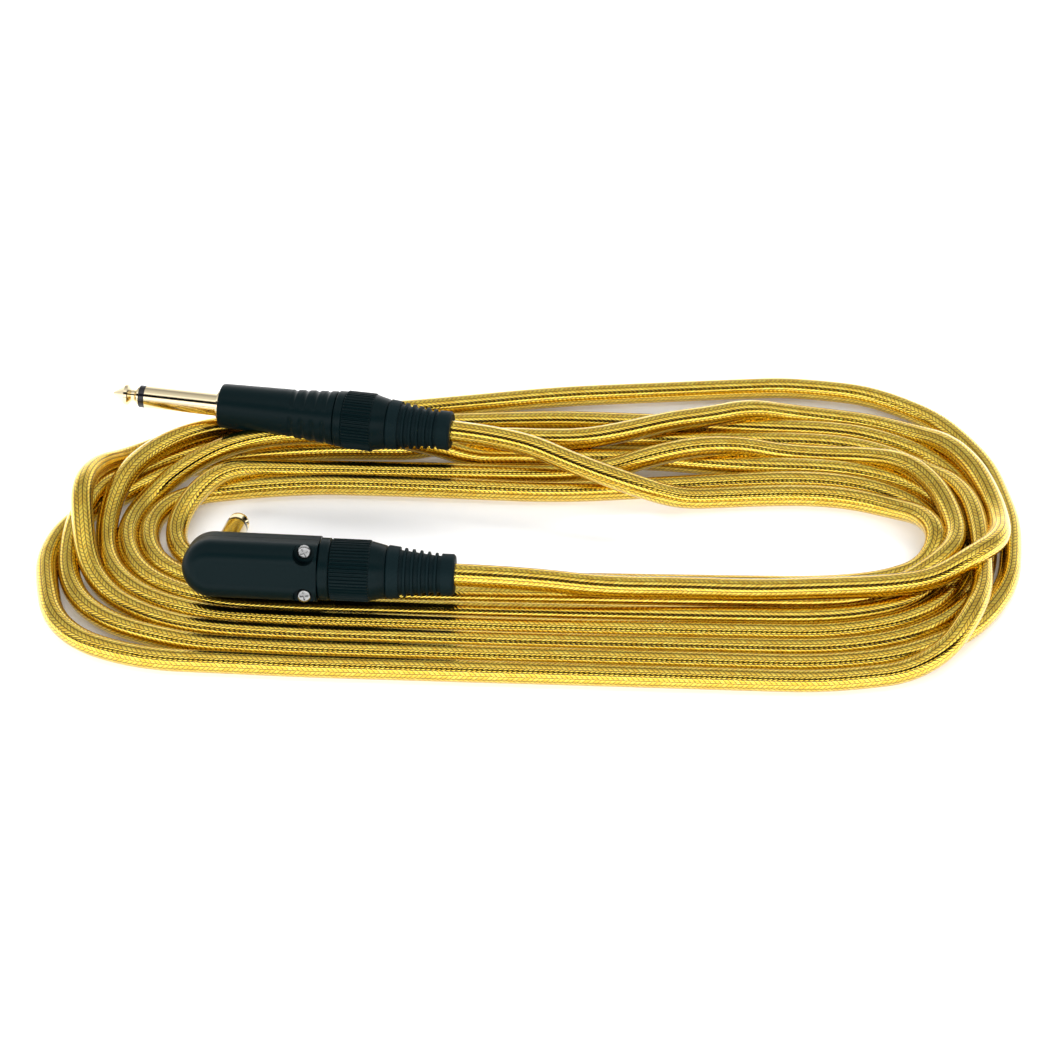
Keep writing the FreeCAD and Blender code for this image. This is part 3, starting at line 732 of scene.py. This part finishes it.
SCREW_ALONG = 32.2
SCREW_OFFSET = 5.9
HEAD_TOP = 5.3
SHANK_END = 8.9
HEAD_RADIUS = 1.85
HEAD_DEPTH = 0.9
SHANK_RADIUS = 0.9
AXIS_HOLE = 0.02
RECESS_HALF_LENGTH = 1.15
RECESS_HALF_WIDTH = 0.24
RECESS_DEPTH = 0.4
RECESS_ABOVE = 0.55


def cut(thing, tool):
    """Cuts the tool out of the thing and removes the tool."""
    modifier = thing.modifiers.new("cut", "BOOLEAN")
    modifier.operation = "DIFFERENCE"
    modifier.solver = "EXACT"
    modifier.object = tool
    bpy.context.view_layer.update()
    graph = bpy.context.evaluated_depsgraph_get()
    mesh = bpy.data.meshes.new_from_object(thing.evaluated_get(graph))
    thing.modifiers.clear()
    thing.data = mesh
    bpy.data.objects.remove(tool)


def box_object(name, low, high):
    xs, ys, zs = zip(low, high)
    corners = [(x, y, z) for x in xs for y in ys for z in zs]
    faces = [(0, 1, 3, 2), (4, 6, 7, 5), (0, 4, 5, 1), (2, 3, 7, 6), (0, 2, 6, 4), (1, 5, 7, 3)]
    mesh = bpy.data.meshes.new(name)
    mesh.from_pydata([tuple(c * MM for c in corner) for corner in corners], [], faces)
    return new_object(name, mesh)


def add_screw(name, side, turn):
    """A pan-head screw with a cross recess, its head at the top and its shank into the cover."""
    outline = [
        (0.0, AXIS_HOLE), (0.0, 1.3), (0.12, 1.62), (0.3, 1.8),
        (0.6, HEAD_RADIUS), (HEAD_DEPTH, HEAD_RADIUS), (HEAD_DEPTH, SHANK_RADIUS),
        (SHANK_END, SHANK_RADIUS), (SHANK_END, AXIS_HOLE),
    ]
    stand = Matrix.Rotation(math.pi / 2, 4, "Y")
    screw = lathe(name, outline, 48, stand)
    for number in range(2):
        slot_box = box_object(
            "slot",
            (-RECESS_HALF_LENGTH, -RECESS_HALF_WIDTH, -RECESS_ABOVE),
            (RECESS_HALF_LENGTH, RECESS_HALF_WIDTH, RECESS_DEPTH),
        )
        slot_box.data.transform(Matrix.Rotation(turn + number * math.pi / 2, 4, "Z"))
        cut(screw, slot_box)
    place = ANGLE @ Matrix.Translation((SCREW_ALONG * MM, side * MM, HEAD_TOP * MM))
    screw.data.transform(place)
    screw.data.set_sharp_from_angle(angle=SHARP_ANGLE)
    set_look(screw, bright_steel)
    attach(screw, "root")
    return screw


far_screw = add_screw("far_cover_screw", SCREW_OFFSET, 0.5)
near_screw = add_screw("near_cover_screw", -SCREW_OFFSET, 0.15)
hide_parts("angle_cover_screws")

# Floor, light and background

FLOOR_SIZE = 6.0
FLOOR_WHITE = (0.94, 0.94, 0.94)
FLOOR_GLOW = 0.12

floor_mesh = bpy.data.meshes.new("floor")
half = FLOOR_SIZE / 2
floor_mesh.from_pydata(
    [(-half, -half, 0), (half, -half, 0), (half, half, 0), (-half, half, 0)], [], [(0, 1, 2, 3)]
)
floor = new_object("floor", floor_mesh)
white = new_material(
    "floor",
    FLOOR_WHITE,
    0.9,
    Specular_IOR_Level=0.1,
    Emission_Color=(1, 1, 1, 1),
    Emission_Strength=FLOOR_GLOW,
)
set_look(floor, white)

world = bpy.data.worlds.new("studio")
scene.world = world
world.use_nodes = True
tree = world.node_tree

# Bands of light and dark over the cable, each a place and a level. The place runs from 0 at the
# front horizon over the top to 1 at the back horizon.
BANDS = [
    (0.0, 0.5),
    (0.1, 1.9),
    (0.215, 2.1),
    (0.22, 0.0),
    (0.38, 0.0),
    (0.385, 1.7),
    (0.5, 0.9),
    (0.75, 0.4),
    (1.0, 1.8),
]
place = tree.nodes.new("ShaderNodeTexCoord")
split = tree.nodes.new("ShaderNodeSeparateXYZ")
tree.links.new(place.outputs["Generated"], split.inputs[0])
front = add_maths(tree, "MULTIPLY", split.outputs[1], -1.0)
angle = add_maths(tree, "ARCTAN2", split.outputs[2], front)
over = add_maths(tree, "DIVIDE", angle, math.pi)
ramp = tree.nodes.new("ShaderNodeValToRGB")
tree.links.new(over, ramp.inputs[0])
elements = ramp.color_ramp.elements
elements[0].position, elements[1].position = BANDS[0][0], BANDS[-1][0]
for position, _ in BANDS[1:-1]:
    elements.new(position)
for element, (_, level) in zip(elements, BANDS):
    element.color = (level, level, level, 1.0)
tree.links.new(ramp.outputs[0], tree.nodes["Background"].inputs["Color"])


def area_light(name, location, size, power):
    """A rectangular light aimed at the origin, which glossy surfaces don't mirror."""
    light = bpy.data.lights.new(name, "AREA")
    light.shape = "RECTANGLE"
    light.size, light.size_y = size
    light.energy = power
    thing = new_object(name, light)
    thing.location = location
    aim = -Vector(location)
    thing.rotation_euler = aim.to_track_quat("-Z", "Y").to_euler()
    thing.visible_glossy = False


area_light("front_softbox", (-0.3, -1.0, 0.5), (1.4, 0.3), 16.0)
area_light("rear_softbox", (0.2, 1.0, 0.7), (1.8, 0.4), 26.0)

scene.view_settings.view_transform = "Standard"
